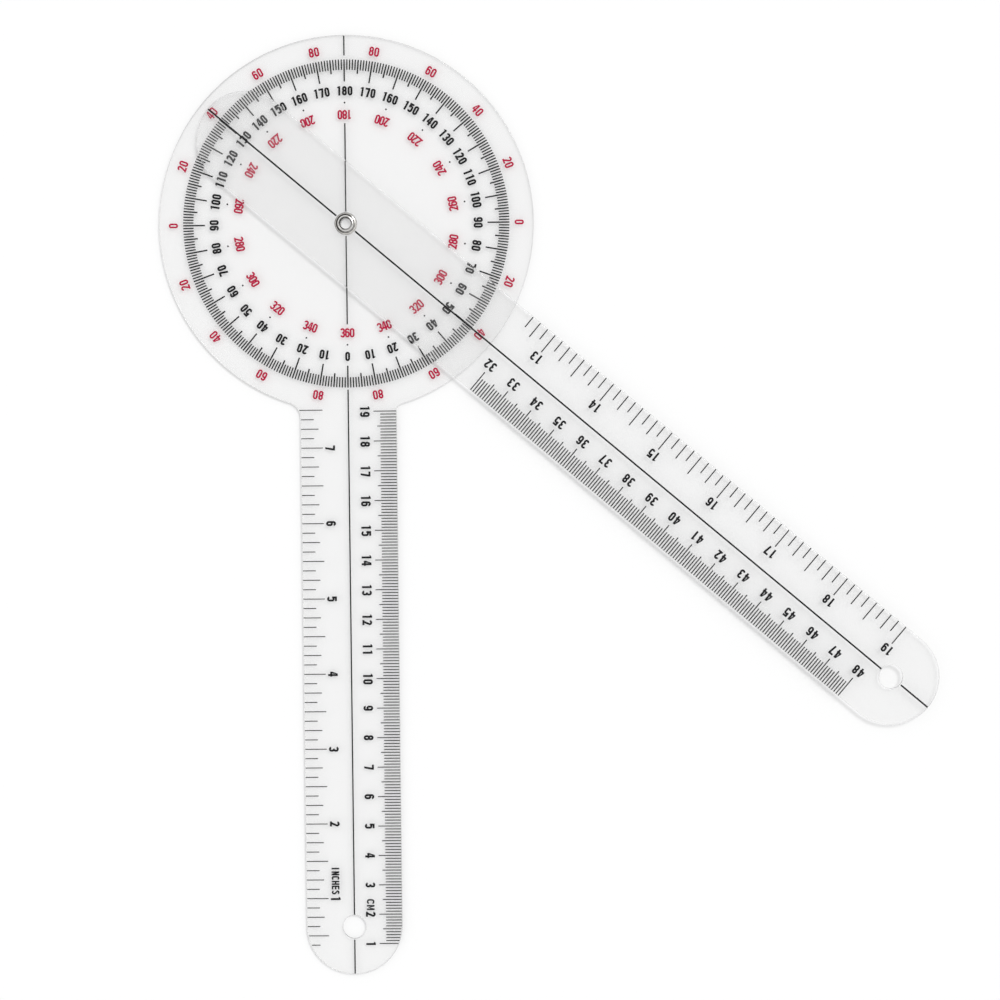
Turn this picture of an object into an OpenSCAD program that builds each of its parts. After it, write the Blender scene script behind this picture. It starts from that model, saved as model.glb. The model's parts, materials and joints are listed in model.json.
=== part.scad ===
// Two-arm goniometer for measuring joint angles, 12 1/2 inches long when closed.
// Two flat sheets of clear plastic turn on one hollow metal eyelet. The lower
// sheet is a round dial with a fixed arm, the upper sheet is the moving arm.
// The printed marks are thin films of ink on the upper face of each sheet.
//
// Origin: on the pivot axis, at the lower face of the dial sheet. +Z is up,
// the fixed arm points along -Y, and sizes are in millimetres.

/* [Sheets] */
// Diameter of the round dial
disc_d = 125.6; // [122:0.2:132]
// Width of both arms
arm_w = 32.4; // [31:0.1:36]
// Distance from the pivot to the hanging hole of each arm
arm_reach = 237; // [210:1:260]
// Thickness of each plastic sheet
plate_t = 1.2; // [0.8:0.1:2.5]
// Diameter of the hanging hole in each arm
hang_d = 7.8; // [4:0.1:9]
// How far the moving arm's tail stops inside the dial's rim
tail_inset = 2.9; // [1:0.1:6]
// Radius where the dial runs into the inch edge of the fixed arm
neck_inch_r = 5; // [2:0.5:8]
// Radius where the dial runs into the centimetre edge of the fixed arm
neck_cm_r = 2; // [1:0.5:8]
// Angle between the two arms as stored
opening = 49.75; // [0:0.25:180]

/* [Pivot] */
// Bore through the hollow eyelet
bore_d = 3.5; // [2.5:0.1:4.5]
// Wall of the eyelet's tube
tube_wall = 0.4; // [0.3:0.05:0.6]
// Width of the rolled rim outside the tube
roll_w = 0.75; // [0.5:0.05:1]
// Diameter of the eyelet's flange under the dial
flange_d = 7.4; // [7:0.1:10]
// Thickness of that flange
flange_t = 0.4; // [0.3:0.05:0.8]
// Bevel at the lower mouth of the bore
mouth = 0.25; // [0.1:0.05:0.3]
// Diameter of the washer under the rolled rim
washer_d = 7.4; // [7:0.1:10]
// Thickness of the washer
washer_t = 0.35; // [0.2:0.05:0.8]

/* [Clearances] */
// Gap between the two sheets
plate_gap = 0.15; // [0.12:0.01:0.4]
// Gap between the moving arm and the washer
washer_gap = 0.05; // [0.03:0.01:0.2]
// Radial clearance of the moving arm on the tube
run_clear = 0.08; // [0.03:0.01:0.1]
// Radial clearance of the dial and the washer on the tube
seat_clear = 0.03; // [0.02:0.01:0.1]

/* [Ink] */
// Thickness of the printed film
ink_t = 0.04; // [0.02:0.01:0.08]
// Width of the long index line on each arm
index_w = 0.38; // [0.2:0.01:0.6]
// Width of a fine mark
fine_w = 0.28; // [0.15:0.01:0.4]
// Width of a main mark
main_w = 0.36; // [0.2:0.01:0.5]
// Bare plastic left round the washer and the hanging holes
bare = 0.35; // [0.2:0.05:1]

/* [Degree ring] */
// Bare rim outside the degree marks
ring_inset = 8.2; // [7.5:0.1:9]
// Length of a 1 degree mark
deg1_len = 3.45; // [2:0.05:4]
// Length of a 5 degree mark
deg5_len = 4.65; // [3:0.05:6]
// Length of a 10 degree mark
deg10_len = 7.3; // [5:0.1:7.5]
// Distance from the rim to the middle of the outer red numerals
outer_red_inset = 4.9; // [4.5:0.1:5.5]
// Distance from the rim to the middle of the black numerals
black_inset = 18.6; // [18:0.1:20]
// Distance from the rim to the dots
dot_inset = 22.5; // [22:0.1:23]
// Distance from the rim to the middle of the inner red numerals
inner_red_inset = 26.5; // [26:0.1:27.5]
// Diameter of a dot
dot_d = 0.5; // [0.3:0.05:0.8]
// Break between the degree marks and the index line towards the fixed arm
arm_break = 0.7; // [0.6:0.1:2]
// Break between the degree marks and the index line on the far rim
rim_break = 1.3; // [0.6:0.1:2]
// Break between the index line and the inner red numerals
num_break = 1.3; // [0.8:0.1:3]

/* [Rulers] */
// Distance from the fixed arm's tip to the zero of both rulers
zero_inset = 0.6; // [0:0.1:2]
// Bare plastic outside the centimetre marks
cm_edge = 0.15; // [0.1:0.05:0.5]
// Length of a millimetre mark
mm1_len = 5.35; // [4:0.05:5.5]
// Length of a 5 millimetre mark
mm5_len = 6.4; // [5:0.1:7]
// Length of a centimetre mark
mm10_len = 7.6; // [6:0.1:7.8]
// Bare plastic outside the inch marks
inch_edge = 0.25; // [0.1:0.05:0.5]
// Length of a 1/8 inch mark
eighth_len = 4.3; // [3:0.05:5]
// Length of a 1/4 inch mark
quarter_len = 5.85; // [5:0.05:6.5]
// Length of a 1/2 inch and of an inch mark
half_len = 7.25; // [6:0.05:7.4]
// First graduation beyond the fixed arm's tip
first_mark = 9.5; // [8:0.5:12]
// Bare plastic between a ruler mark and the arm's round tip
tip_edge = 0.25; // [0.1:0.05:0.5]
// Bare plastic between the dial's rim and the moving arm's rulers
start_gap = 2.7; // [1:0.1:6]
// Bare plastic between the moving arm's rulers and its hanging hole
end_gap = 3.1; // [2:0.1:6]

/* [Numerals] */
// Height of the dial numerals
dial_num_h = 3.05; // [2:0.05:3.4]
// Width of a dial digit
dial_num_w = 1.5; // [1.2:0.05:1.7]
// Distance between black dial digits
black_pitch = 1.88; // [1.7:0.02:2.1]
// Distance between inner red dial digits
inner_red_pitch = 1.6; // [1.55:0.02:2]
// Distance between outer red dial digits
outer_red_pitch = 1.82; // [1.6:0.02:2]
// Stroke of the black dial digits
black_stroke = 0.5; // [0.3:0.02:0.56]
// Stroke of the red dial digits
red_stroke = 0.36; // [0.25:0.01:0.5]
// Height of the ruler numerals
rule_num_h = 3.25; // [2:0.05:3.6]
// Width of a ruler digit
rule_num_w = 1.62; // [1.3:0.02:1.8]
// Distance between ruler digits
rule_pitch = 2.15; // [2:0.05:2.5]
// Stroke of the ruler digits
rule_stroke = 0.56; // [0.3:0.02:0.6]
// Gap between the centimetre marks and their numerals
cm_num_gap = 1.3; // [0.3:0.1:2]
// Gap between the inch marks and their numerals
inch_num_gap = 0.8; // [0.3:0.1:2]
// Height of the unit words
word_h = 2.5; // [1.8:0.05:3]
// Stroke of the unit words
word_stroke = 0.42; // [0.3:0.02:0.44]
// Gap between a unit word and the numeral it belongs to
word_gap = 0.65; // [0.4:0.05:1]
// Width of a letter in INCHES
inches_w = 1.3; // [1.2:0.02:1.36]
// Distance between the letters of INCHES
inches_pitch = 1.62; // [1.5:0.02:1.7]
// Width of a letter in CM
cm_w = 1.65; // [1.4:0.05:1.8]
// Distance between the letters of CM
cm_pitch = 2; // [1.9:0.05:2.2]

/* [Hidden] */
$fn = 96;

cm = 10;
inch = 25.4;
eighth = inch / 8;
disc_r = disc_d / 2;
half_w = arm_w / 2;
tip_r = arm_reach + half_w;
tail_r = disc_r - tail_inset;
bore_r = bore_d / 2;
tube_r = bore_r + tube_wall;
roll_r = tube_r + roll_w;

// Heights of the stack, from the dial sheet upwards
dial_top = plate_t;
arm_bottom = dial_top + plate_gap;
arm_top = arm_bottom + plate_t;
washer_bottom = arm_top + washer_gap;
washer_top = washer_bottom + washer_t;

// Radii of the printed rings
marks_r = disc_r - ring_inset;
black_r = disc_r - black_inset;
dot_r = disc_r - dot_inset;
inner_red_r = disc_r - inner_red_inset;
outer_red_r = disc_r - outer_red_inset;
// Ink keeps this far from the pivot, clear of the washer
pivot_bare_r = max(washer_d, flange_d) / 2 + bare;

// Rulers: distance from the pivot to their zero, and where the neck begins
zero_r = tip_r - zero_inset;
neck_r = sqrt(disc_r * disc_r - half_w * half_w);
neck_limit = zero_r - neck_r;
arm_start = zero_r + disc_r + start_gap;
arm_end = zero_r + arm_reach - hang_d / 2 - end_gap;
// Distances from the index line to the middle of the ruler numerals
cm_num_x = half_w - cm_edge - mm10_len - cm_num_gap - rule_num_h / 2;
inch_num_x = half_w - inch_edge - half_len - inch_num_gap - rule_num_h / 2;

// Part of an ellipse, from angle a0 to a1, as points
function arc(c, rx, ry, a0, a1, n = 6) =
    [for (i = [0:n]) let (t = a0 + (a1 - a0) * i / n) c + [rx * cos(t), ry * sin(t)]];

// Unit vector square to the line from p to q, on its left
function left_of(p, q) = [p.y - q.y, q.x - p.x] / norm(q - p);

// Mitre vector between two left-hand unit vectors
function mitre(m, n) = 2 * (m + n) / ((m + n) * (m + n));

function open_mitre(p, i) = let (last = len(p) - 1)
    mitre(left_of(p[max(i - 1, 0)], p[max(i, 1)]),
          left_of(p[min(i, last - 1)], p[min(i + 1, last)]));

function loop_mitre(p, i) = let (k = len(p))
    mitre(left_of(p[(i + k - 1) % k], p[i]), left_of(p[i], p[(i + 1) % k]));

// Pen stroke of width s along an open path
module stroke(p, s) {
    near = [for (i = [0:len(p) - 1]) p[i] + open_mitre(p, i) * s / 2];
    far = [for (i = [len(p) - 1:-1:0]) p[i] - open_mitre(p, i) * s / 2];
    polygon(concat(near, far));
}

// Pen stroke of width s round a closed path that runs anticlockwise
module loop_stroke(p, s) {
    difference() {
        polygon([for (i = [0:len(p) - 1]) p[i] - loop_mitre(p, i) * s / 2]);
        polygon([for (i = [0:len(p) - 1]) p[i] + loop_mitre(p, i) * s / 2]);
    }
}

// Closed path of half width a between heights y0 and y1, with round ends
function oval(a, y0, y1) = let (r = min(a, (y1 - y0) / 2.05))
    concat(arc([0, y1 - r], a, r, 0, 180), arc([0, y0 + r], a, r, 180, 360));

// Digits and letters w wide and h high, drawn about their own middle with a
// pen s wide. a and b are the half width and half height of the pen's path.
module digit_1(w, h, s) {
    x = 0.1 * w;
    polygon([[x - s / 2, -h / 2], [x + s / 2, -h / 2], [x + s / 2, h / 2],
             [x - s / 4, h / 2], [x - s / 2 - 0.22 * w, 0.4 * h],
             [x - s / 2 - 0.22 * w, 0.27 * h], [x - s / 2, 0.33 * h]]);
}

module digit_2(a, b, s) {
    stroke(concat(arc([0, b - a], a, a, 175, -25), [[s / 4 - a, -b]]), s);
    translate([-a - s / 2, -b - s / 2]) square([2 * a + s, s]);
}

module digit_3(a, b, s) {
    r = 0.45 * b;
    for (k = [-1, 1]) {
        bowl = concat(arc([0, b - a], a, a, 170, 0), arc([0.1 * a, r], 0.9 * a, r, 0, -90),
                      [[-0.3 * a, 0]]);
        stroke([for (p = bowl) [p.x, k * p.y + k * 0.02]], s);
    }
}

module digit_4(w, h, s) {
    x = 0.18 * w;
    y = -0.28 * h;
    difference() {
        polygon([[x - s / 2, -h / 2], [x + s / 2, -h / 2], [x + s / 2, y], [w / 2, y],
                 [w / 2, y + s], [x + s / 2, y + s], [x + s / 2, h / 2],
                 [x - 0.7 * s, h / 2], [-w / 2, y + s], [-w / 2, y], [x - s / 2, y]]);
        polygon([[x - s / 2, y + s], [x - s / 2, 0.32 * h], [-w / 2 + 0.9 * s, y + s]]);
    }
}

module digit_5(a, b, s) {
    stroke([[a + s / 3, b], [-a, b], [-a, 0.02 * b]], s);
    stroke(concat(arc([0, 0.3 * b - 0.5 * a], a, 0.8 * a, 165, 0),
                  arc([0, a - b], a, a, 0, -170)), s);
}

module digit_6(a, b, s) {
    loop_stroke(oval(a, -b, 0.22 * b), s);
    stroke(concat([[-a, -0.3 * b]], arc([0, b - a], a, a, 180, 5)), s);
}

module digit_7(w, h, s) {
    polygon([[-w / 2, h / 2], [w / 2, h / 2], [w / 2, h / 2 - s], [0.02 * w + s / 2, -h / 2],
             [0.02 * w - s / 2, -h / 2], [w / 2 - 1.05 * s, h / 2 - s], [-w / 2, h / 2 - s]]);
}

module digit_8(a, b, s) {
    loop_stroke(oval(0.94 * a, 0.06 * b, b), s);
    loop_stroke(oval(a, -b, 0.06 * b), s);
}

module letter_n(w, h, s) {
    for (k = [-1, 1])
        translate([k * (w - s) / 2 - s / 2, -h / 2]) square([s, h]);
    polygon([[-w / 2, h / 2], [s - w / 2, h / 2], [w / 2, -h / 2], [w / 2 - s, -h / 2]]);
}

module letter_m(w, h, s) {
    for (k = [-1, 1]) {
        translate([k * (w - s) / 2 - s / 2, -h / 2]) square([s, h]);
        polygon([[k * w / 2, h / 2], [k * (w / 2 - s), h / 2], [0, s - 0.35 * h],
                 [0, -0.35 * h]]);
    }
}

module glyph(c, w, h, s) {
    a = (w - s) / 2;
    b = (h - s) / 2;
    if (c == "0") loop_stroke(oval(a, -b, b), s);
    if (c == "1") digit_1(w, h, s);
    if (c == "2") digit_2(a, b, s);
    if (c == "3") digit_3(a, b, s);
    if (c == "4") digit_4(w, h, s);
    if (c == "5") digit_5(a, b, s);
    if (c == "6") digit_6(a, b, s);
    if (c == "7") digit_7(w, h, s);
    if (c == "8") digit_8(a, b, s);
    if (c == "9") rotate(180) digit_6(a, b, s);
    if (c == "I") square([s, h], center = true);
    if (c == "N") letter_n(w, h, s);
    if (c == "M") letter_m(w, h, s);
    if (c == "C") stroke(concat(arc([0, b - a], a, a, 15, 180),
                                arc([0, a - b], a, a, 180, 345)), s);
    if (c == "H") {
        for (k = [-1, 1]) translate([k * a, 0]) square([s, h], center = true);
        square([w - s, s], center = true);
    }
    if (c == "E") {
        translate([-a, 0]) square([s, h], center = true);
        for (y = [-b, 0, b]) translate([0.1 * s, y]) square([w - 0.4 * s, s], center = true);
    }
    if (c == "S") stroke(concat(arc([0, b - a], a, a, 15, 180), [[a, -0.28 * b]],
                                arc([0, a - b], a, a, 0, -165)), s);
}

// A row of characters, centred, each pitch after the one before
module label(t, w, h, s, pitch) {
    for (i = [0:len(t) - 1])
        translate([(i - (len(t) - 1) / 2) * pitch, 0]) glyph(t[i], w, h, s);
}

// Puts flat ink on a sheet whose upper face is at height z
module print_at(z) {
    translate([0, 0, z]) linear_extrude(ink_t) children();
}

// Turns its child to a reading of the dial: 0 is the fixed arm, + is the right side
module at_degree(a, r, inward = false) {
    rotate(a) translate([0, -r]) rotate(inward ? 0 : 180) children();
}

// A bar along the arm's index line, between two distances from the pivot
module index_bar(r0, r1) {
    translate([-index_w / 2, -r1]) square([index_w, r1 - r0]);
}

// Half the width of an arm's plastic at a distance r from the pivot: it widens
// into the neck, where that has radius f, and closes in at the round tip
function edge_at(r, f) =
    let (into_neck = min(-neck_centre(1, f).y - r, f), past_hole = min(r - arm_reach, half_w))
    into_neck > 0 ? half_w + f - sqrt(f * f - into_neck * into_neck)
    : past_hole > 0 ? sqrt(half_w * half_w - past_hole * past_hole) - tip_edge
    : half_w;

// One ruler mark, side +1 or -1, ending inset from the edge of the plastic
module ruler_mark(r, side, inset, length, neck_f) {
    inner = half_w - inset - length;
    outer = edge_at(r, neck_f) - inset;
    translate([side > 0 ? inner : -outer, -r - fine_w / 2]) square([outer - inner, fine_w]);
}

// Ruler marks from one millimetre or eighth of an inch to another. reading is +1
// on the fixed arm, which counts towards the pivot, and -1 on the moving arm,
// which counts away from it
module cm_marks(from, to, side, reading, neck_f) {
    for (v = [from:to]) {
        length = v % 10 == 0 ? mm10_len : v % 5 == 0 ? mm5_len : mm1_len;
        ruler_mark(reading * (zero_r - v), side, cm_edge, length, neck_f);
    }
}

module inch_marks(from, to, side, reading, neck_f) {
    for (v = [from:to]) {
        length = v % 4 == 0 ? half_len : v % 2 == 0 ? quarter_len : eighth_len;
        ruler_mark(reading * (zero_r - v * eighth), side, inch_edge, length, neck_f);
    }
}

module ruler_label(t, x, r, turn) {
    translate([x, -r]) rotate(turn) label(t, rule_num_w, rule_num_h, rule_stroke, rule_pitch);
}

// The arm's own shape, with a round tip and the hanging hole's centre inside it
module arm_outline(tail) {
    translate([-half_w, -arm_reach]) square([arm_w, arm_reach + tail]);
    translate([0, -arm_reach]) circle(half_w);
}

// Middle of the round of radius f where the dial runs into one edge of the
// fixed arm, side +1 or -1
function neck_centre(side, f) = let (x = half_w + f)
    [side * x, -sqrt((disc_r + f) * (disc_r + f) - x * x)];

// Plastic that fills that corner: a wedge from the pivot out to the round
module neck(side, f) {
    c = neck_centre(side, f);
    polygon(concat(arc(c, f, f, side > 0 ? 180 : 0, atan2(-c.y, -c.x), 24), [[0, 0]]));
}

module dial_plate() {
    color([0.93, 0.94, 0.95, 0.45])
    difference() {
        union() {
            linear_extrude(plate_t) circle(disc_r, $fn = 360);
            linear_extrude(plate_t) arm_outline(0);
            linear_extrude(plate_t) neck(-1, neck_inch_r);
            linear_extrude(plate_t) neck(1, neck_cm_r);
        }
        translate([0, 0, -1]) cylinder(h = plate_t + 2, r = tube_r + seat_clear);
        translate([0, -arm_reach, -1]) cylinder(h = plate_t + 2, d = hang_d);
    }
}

module in_moving_arm() {
    rotate(opening) children();
}

module moving_arm_plate() {
    color([0.90, 0.92, 0.94, 0.45])
    in_moving_arm() difference() {
        translate([0, 0, arm_bottom]) linear_extrude(plate_t) {
            arm_outline(tail_r - half_w);
            translate([0, tail_r - half_w]) circle(half_w);
        }
        translate([0, 0, dial_top]) cylinder(h = 2 * plate_t, r = tube_r + run_clear);
        translate([0, -arm_reach, dial_top]) cylinder(h = 2 * plate_t, d = hang_d);
    }
}

module pivot_eyelet() {
    roll = (roll_r - bore_r) / 2;
    color([0.80, 0.79, 0.76])
    difference() {
        union() {
            translate([0, 0, -flange_t]) cylinder(h = flange_t + washer_top, r = tube_r);
            rotate_extrude() {
                translate([0, -flange_t]) square([flange_d / 2 - flange_t / 2, flange_t]);
                translate([flange_d / 2 - flange_t / 2, -flange_t / 2]) circle(flange_t / 2);
                intersection() {
                    translate([bore_r + roll, washer_top]) circle(roll);
                    translate([0, washer_top]) square([roll_r, roll]);
                }
            }
        }
        translate([0, 0, -flange_t - 1]) cylinder(h = flange_t + washer_top + 3, r = bore_r);
        translate([0, 0, -flange_t]) cylinder(h = mouth, r1 = bore_r + mouth, r2 = bore_r);
    }
}

module pivot_washer() {
    edge = washer_t / 2;
    color([0.74, 0.73, 0.70])
    translate([0, 0, washer_bottom]) rotate_extrude() {
        translate([tube_r + seat_clear, 0])
            square([washer_d / 2 - edge - tube_r - seat_clear, washer_t]);
        translate([washer_d / 2 - edge, edge]) circle(edge);
    }
}

module degree_marks() {
    color("black") print_at(dial_top)
    for (v = [0:359]) {
        main = v % 5 == 0;
        length = v % 10 == 0 ? deg10_len : main ? deg5_len : deg1_len;
        width = main ? main_w : fine_w;
        rotate(v) translate([-width / 2, -marks_r]) square([width, length]);
    }
}

module dial_index_line() {
    inner_end = inner_red_r - dial_num_h / 2 - num_break;
    color("black") print_at(dial_top) {
        for (turn = [0, 180]) rotate(turn) index_bar(pivot_bare_r, inner_end);
        rotate(180) index_bar(marks_r + rim_break, disc_r - bare);
        index_bar(marks_r + arm_break, arm_reach - hang_d / 2 - bare);
        index_bar(arm_reach + hang_d / 2 + bare, tip_r - bare);
    }
}

module black_degree_numerals() {
    color("black") print_at(dial_top)
    for (v = [0:10:180], side = v % 180 == 0 ? [1] : [-1, 1])
        at_degree(side * v, black_r)
            label(str(v), dial_num_w, dial_num_h, black_stroke, black_pitch);
}

module inner_red_numerals() {
    color("crimson") print_at(dial_top)
    for (v = [0:20:180], side = v % 180 == 0 ? [1] : [-1, 1])
        at_degree(side * v, inner_red_r, inward = true)
            label(str(360 - v), dial_num_w, dial_num_h, red_stroke, inner_red_pitch);
}

module outer_red_numerals() {
    color("crimson") print_at(dial_top)
    for (v = [10:20:170], side = [-1, 1])
        at_degree(side * v, outer_red_r)
            label(str(abs(90 - v)), dial_num_w, dial_num_h, red_stroke, outer_red_pitch);
}

module dial_dots() {
    color("black") print_at(dial_top)
    for (v = [0:20:340]) at_degree(v, dot_r) circle(d = dot_d, $fn = 24);
}

module fixed_cm_marks() {
    color("black") print_at(dial_top)
        cm_marks(ceil(first_mark), floor(neck_limit / cm) * cm, 1, 1, neck_cm_r);
}

module fixed_inch_marks() {
    color("black") print_at(dial_top)
        inch_marks(ceil(first_mark / eighth), floor(neck_limit / eighth), -1, 1, neck_inch_r);
}

// A unit word that ends word_gap before the numeral at a distance v from zero
module unit_word(t, x, v, w, pitch) {
    half = ((len(t) - 1) * pitch + w) / 2;
    translate([x, v + rule_num_w / 2 + word_gap + half - zero_r])
        rotate(-90) label(t, w, word_h, word_stroke, pitch);
}

module fixed_cm_numerals() {
    color("black") print_at(dial_top) {
        for (v = [1:floor(neck_limit / cm)])
            ruler_label(str(v), cm_num_x, zero_r - v * cm, -90);
        unit_word("CM", cm_num_x, 2 * cm, cm_w, cm_pitch);
    }
}

module fixed_inch_numerals() {
    color("black") print_at(dial_top) {
        for (v = [1:floor(neck_limit / inch)])
            ruler_label(str(v), -inch_num_x, zero_r - v * inch, -90);
        unit_word("INCHES", -inch_num_x, inch, inches_w, inches_pitch);
    }
}

module moving_index_line() {
    color("black") in_moving_arm() print_at(arm_top) {
        rotate(180) index_bar(pivot_bare_r, tail_r - bare);
        index_bar(pivot_bare_r, arm_reach - hang_d / 2 - bare);
        index_bar(arm_reach + hang_d / 2 + bare, tip_r - bare);
    }
}

module moving_cm_marks() {
    color("black") in_moving_arm() print_at(arm_top)
        cm_marks(ceil(arm_start / cm) * cm, floor(arm_end / cm) * cm, -1, -1, 0);
}

module moving_inch_marks() {
    first = ceil(ceil(arm_start / cm) * cm / eighth);
    color("black") in_moving_arm() print_at(arm_top)
        inch_marks(first, floor(arm_end / inch) * inch / eighth, 1, -1, 0);
}

module moving_cm_numerals() {
    color("black") in_moving_arm() print_at(arm_top)
    for (v = [ceil(arm_start / cm):floor(arm_end / cm)])
        ruler_label(str(v), -cm_num_x, v * cm - zero_r, 90);
}

module moving_inch_numerals() {
    color("black") in_moving_arm() print_at(arm_top)
    for (v = [ceil(arm_start / inch):floor(arm_end / inch)])
        ruler_label(str(v), inch_num_x, v * inch - zero_r, 90);
}

dial_plate();
moving_arm_plate();
pivot_eyelet();
pivot_washer();
degree_marks();
dial_index_line();
black_degree_numerals();
inner_red_numerals();
outer_red_numerals();
dial_dots();
fixed_cm_marks();
fixed_inch_marks();
fixed_cm_numerals();
fixed_inch_numerals();
moving_index_line();
moving_cm_marks();
moving_inch_marks();
moving_cm_numerals();
moving_inch_numerals();
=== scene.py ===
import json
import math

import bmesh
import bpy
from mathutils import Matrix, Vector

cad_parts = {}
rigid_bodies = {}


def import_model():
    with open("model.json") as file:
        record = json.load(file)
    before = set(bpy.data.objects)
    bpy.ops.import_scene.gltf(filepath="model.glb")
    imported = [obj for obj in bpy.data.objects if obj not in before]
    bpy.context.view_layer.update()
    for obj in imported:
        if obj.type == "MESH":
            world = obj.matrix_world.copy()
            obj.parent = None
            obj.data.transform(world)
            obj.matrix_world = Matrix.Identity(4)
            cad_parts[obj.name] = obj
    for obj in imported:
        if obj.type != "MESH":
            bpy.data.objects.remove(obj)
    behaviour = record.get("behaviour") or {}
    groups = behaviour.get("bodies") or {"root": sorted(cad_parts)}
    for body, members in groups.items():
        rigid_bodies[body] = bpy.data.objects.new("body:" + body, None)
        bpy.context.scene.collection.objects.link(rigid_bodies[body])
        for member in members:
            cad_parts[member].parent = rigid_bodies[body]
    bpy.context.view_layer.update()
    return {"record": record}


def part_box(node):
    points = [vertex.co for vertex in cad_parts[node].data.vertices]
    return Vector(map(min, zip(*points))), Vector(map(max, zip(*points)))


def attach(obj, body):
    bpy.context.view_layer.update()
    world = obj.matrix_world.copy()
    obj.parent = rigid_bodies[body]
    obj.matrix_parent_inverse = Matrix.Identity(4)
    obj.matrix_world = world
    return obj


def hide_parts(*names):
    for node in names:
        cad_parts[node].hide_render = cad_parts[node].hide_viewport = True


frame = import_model()

# %% [markdown]
# # A clear plastic goniometer
# A goniometer measures the angle of a joint of the body. This one is two flat sheets
# of clear plastic on one hollow eyelet: a round dial with a fixed ruler arm, and a
# moving ruler arm on top of it. Everything that is read is printed in black and red.
# The construction comes in as a fixed frame, and this file gives it its looks. The
# boxes of a few of the frame's parts are read first, for the heights they set. The
# looks have to stay inside it.

MM = 0.001
mounts = {m["name"]: m for m in frame["record"]["mounts"]}
dial_low, dial_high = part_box("dial_plate")
arm_low, arm_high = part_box("moving_arm_plate")
ink_low, ink_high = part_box("degree_marks")
eye_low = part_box("pivot_eyelet")[0]
washer_low, washer_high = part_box("pivot_washer")

disc_r = 62.8 * MM
reach = -mounts["fixed_arm_hang_hole"]["pos_m"][1]
half_w = 16.2 * MM
tip_r = reach + half_w
hang_r = mounts["fixed_arm_hang_hole"]["dims"]["r_mm"] * MM
hang_at = mounts["moving_arm_hang_hole"]["pos_m"]
opening = math.atan2(hang_at[0], -hang_at[1])
ink_t = ink_high.z - ink_low.z
print(f"disc {2 * disc_r / MM:.1f} mm, arms {2 * half_w / MM:.1f} mm wide,",
      f"opened {math.degrees(opening):.2f} degrees")

# %% [markdown]
# ## Helpers
# A few short helpers keep the later cells easy to read: one makes an object from a
# mesh, one turns anything that has modifiers into a plain mesh, and one hands a
# finished piece to the body that carries it. A finished piece stays at the origin,
# with its place in its mesh, so that a pattern on Object coordinates stays put. The
# helpers for nodes let one line make a node, set its values and wire its inputs.

# %% Helpers for objects and pieces
def new_object(name, data):
    """An object in the scene that shows this mesh or curve."""
    obj = bpy.data.objects.new(name, data)
    bpy.context.scene.collection.objects.link(obj)
    return obj


def baked(source, name):
    """A plain mesh object made from source as its modifiers leave it; source goes."""
    graph = bpy.context.evaluated_depsgraph_get()
    mesh = bpy.data.meshes.new_from_object(source.evaluated_get(graph), depsgraph=graph)
    mesh.name = name
    bpy.data.objects.remove(source)
    return new_object(name, mesh)


def tidy(obj, distance=1e-6):
    """Merges doubled points and points every face outwards."""
    bm = bmesh.new()
    bm.from_mesh(obj.data)
    bmesh.ops.remove_doubles(bm, verts=bm.verts, dist=distance)
    bmesh.ops.recalc_face_normals(bm, faces=bm.faces)
    bm.to_mesh(obj.data)
    bm.free()


def finish_piece(obj, body, slot, *nodes):
    """The piece rides on its body and stands for the nodes named. slot is not used."""
    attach(obj, body)
    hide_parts(*nodes)
    print(f"{obj.name}: {len(obj.data.polygons)} faces, rides on {body}")


def arc(centre, radius, start, end, steps):
    """Points along an arc, with its ends, angles in degrees."""
    angles = [math.radians(start + (end - start) * i / steps) for i in range(steps + 1)]
    return [(centre[0] + radius * math.cos(a), centre[1] + radius * math.sin(a)) for a in angles]


# %% Helpers for nodes and materials
def plug(tree, value, socket):
    """Links value to the socket where it is a socket itself, and otherwise sets it."""
    if isinstance(value, bpy.types.NodeSocket):
        tree.links.new(value, socket)
    else:
        socket.default_value = value


def titled(key):
    """The name of an input from a keyword: base_color is Base Color."""
    return key.replace("_", " ").title().replace("Ior", "IOR")


def feed(tree, node, **values):
    """Puts sockets or plain values into the inputs of a node, by their names."""
    for key, value in values.items():
        plug(tree, value, node.inputs[titled(key)])


def add(tree, kind, **values):
    """A new node; a value named after an input feeds it, any other sets a property."""
    node = tree.nodes.new(kind)
    for key, value in values.items():
        if titled(key) in node.inputs:
            feed(tree, node, **{key: value})
        else:
            setattr(node, key, value)
    return node


def principled(name, **values):
    """A new material with a Principled shader, and plain values on its own sockets."""
    material = bpy.data.materials.new(name)
    material.use_nodes = True
    shader = material.node_tree.nodes["Principled BSDF"]
    feed(material.node_tree, shader, **values)
    return material, shader


# %% [markdown]
# ## The camera and the studio
# The photograph was taken from almost straight above, a little right of the pivot, and
# the camera leans by one or two degrees. The lens, place and lean below were found by
# laying the printed rulers over the picture. The floor is plain and pale, and so wide
# that its far edge stays out of sight in a low view. One broad lamp stands on the upper
# right, so that each edge gets a faint soft shadow on its lower left. It isn't seen
# through the plastic, where its image would be a bright spot. White walls light the
# rest, and the ceiling is dim, so that the plastic mirrors little of it and the print
# stays black.

# %% Camera
camera_place = Vector((63.81, -69.03, 671.4)) * MM
camera_lean = (-2.04, 1.111, -0.549)
camera_data = bpy.data.cameras.new("camera")
camera_data.sensor_width = 36
camera_data.lens = 72
camera = new_object("camera", camera_data)
camera.location = camera_place
camera.rotation_euler = [math.radians(a) for a in camera_lean]
bpy.context.scene.camera = camera
print("camera", [round(c, 3) for c in camera.location])

# %% Floor
floor_gap = 0.02 * MM
floor_z = min(dial_low.z, eye_low.z) - floor_gap
half_floor = 60.0
floor_mesh = bpy.data.meshes.new("floor")
corners = ((-1, -1), (1, -1), (1, 1), (-1, 1))
floor_mesh.from_pydata([(x * half_floor, y * half_floor, floor_z) for x, y in corners],
                       [], [(0, 1, 2, 3)])
floor = new_object("floor", floor_mesh)

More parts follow.
